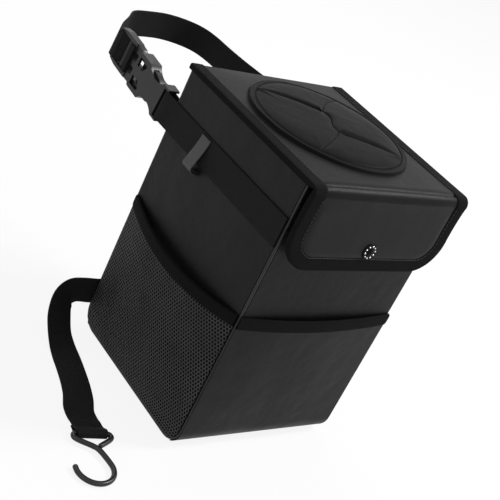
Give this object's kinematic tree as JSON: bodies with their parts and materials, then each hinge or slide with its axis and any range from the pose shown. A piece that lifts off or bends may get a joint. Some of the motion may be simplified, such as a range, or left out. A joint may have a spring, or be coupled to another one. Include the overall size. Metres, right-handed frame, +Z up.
{
  "type": "hanging car litter bin",
  "caption": "Square leatherette litter bin for a car: hinged lid with a petal mouth, snap flap, front and mesh side pockets, buckled hanging strap and lower strap with a wire hook.",
  "frame": {"origin": "middle of the bag's foot", "axes": "+Z up, -Y the front with the flap, -X the side with the buckle"},
  "size_m": [0.2663, 0.3454, 0.2569],
  "materials": {
    "skin": "grained leatherette, satin",
    "lid_skin": "grained leatherette, satin",
    "binding": "ribbed tape",
    "webbing": "woven",
    "mesh": "open knitted net",
    "buckle_plastic": "smooth moulded",
    "hook_wire": "dipped coating on bent wire",
    "snap_metal": "black lacquer",
    "board": "plain board",
    "liner": "coated cloth"
  },
  "bodies": {
    "bag": {"wrap_panel": "skin", "left_side_panel": "skin", "right_side_panel": "skin", "left_piping": "skin", "right_piping": "skin", "front_board": "board", "back_board": "board", "left_board": "board", "right_board": "board", "bottom_board": "board", "liner": "liner", "rim_binding": "binding", "hinge_tape": "binding", "front_pocket": "skin", "front_pocket_hem": "binding", "left_mesh_pocket": "mesh", "left_pocket_hem": "binding", "right_mesh_pocket": "mesh", "right_pocket_hem": "binding", "left_strap": "webbing", "left_loop": "skin", "right_loop": "skin", "buckle_receiver": "buckle_plastic", "long_strap": "webbing", "lower_strap": "webbing", "snap_stud": "snap_metal"},
    "lid": {"lid_panel": "lid_skin", "left_lid_binding": "binding", "right_lid_binding": "binding", "petal_surround": "lid_skin", "petal_ring": "lid_skin"},
    "flap": {"flap_panel": "lid_skin", "flap_binding": "binding", "snap_cap": "snap_metal", "snap_socket": "snap_metal"},
    "left_leaf": {"petal_left": "lid_skin"},
    "back_leaf": {"petal_back": "lid_skin"},
    "right_leaf": {"petal_right": "lid_skin"},
    "front_leaf": {"petal_front": "lid_skin"},
    "plug": {"buckle_plug": "buckle_plastic"},
    "wire_hook": {"hook": "hook_wire"}
  },
  "joints": [
    {"name": "lid_hinge", "type": "hinge", "parent": "bag", "child": "lid", "pos_m": [0, 0.08, 0.2453], "axis": [-1, 0, 0], "range_deg": [0, 120]},
    {"name": "flap_hinge", "type": "hinge", "parent": "lid", "child": "flap", "pos_m": [0, -0.0885, 0.2501], "axis": [-1, 0, 0], "range_deg": [0, 110]},
    {"name": "left_leaf_hinge", "type": "hinge", "parent": "lid", "child": "left_leaf", "pos_m": [-0.043, 0, 0.2528], "axis": [0, 1, 0], "range_deg": [0, 65], "stiffness_Nm_per_rad": 0.02, "springref_deg": -14.32},
    {"name": "back_leaf_hinge", "type": "hinge", "parent": "lid", "child": "back_leaf", "pos_m": [0, 0.043, 0.2528], "axis": [1, 0, 0], "range_deg": [0, 65], "stiffness_Nm_per_rad": 0.02, "springref_deg": -14.32},
    {"name": "right_leaf_hinge", "type": "hinge", "parent": "lid", "child": "right_leaf", "pos_m": [0.043, 0, 0.2528], "axis": [0, -1, 0], "range_deg": [0, 65], "stiffness_Nm_per_rad": 0.02, "springref_deg": -14.32},
    {"name": "front_leaf_hinge", "type": "hinge", "parent": "lid", "child": "front_leaf", "pos_m": [0, -0.043, 0.2528], "axis": [-1, 0, 0], "range_deg": [0, 65], "stiffness_Nm_per_rad": 0.02, "springref_deg": -14.32},
    {"name": "buckle_release", "type": "slide", "parent": "bag", "child": "plug", "axis": [0, 0.9945, 0.1045], "range_m": [0, 0.04], "deforming": ["long_strap"]},
    {"name": "hook_swing", "type": "hinge", "parent": "bag", "child": "wire_hook", "pos_m": [-0.1445, -0.058, 0.00365], "axis": [-0.9848, 0.1736, 0], "range_deg": [0, 120]}
  ]
}
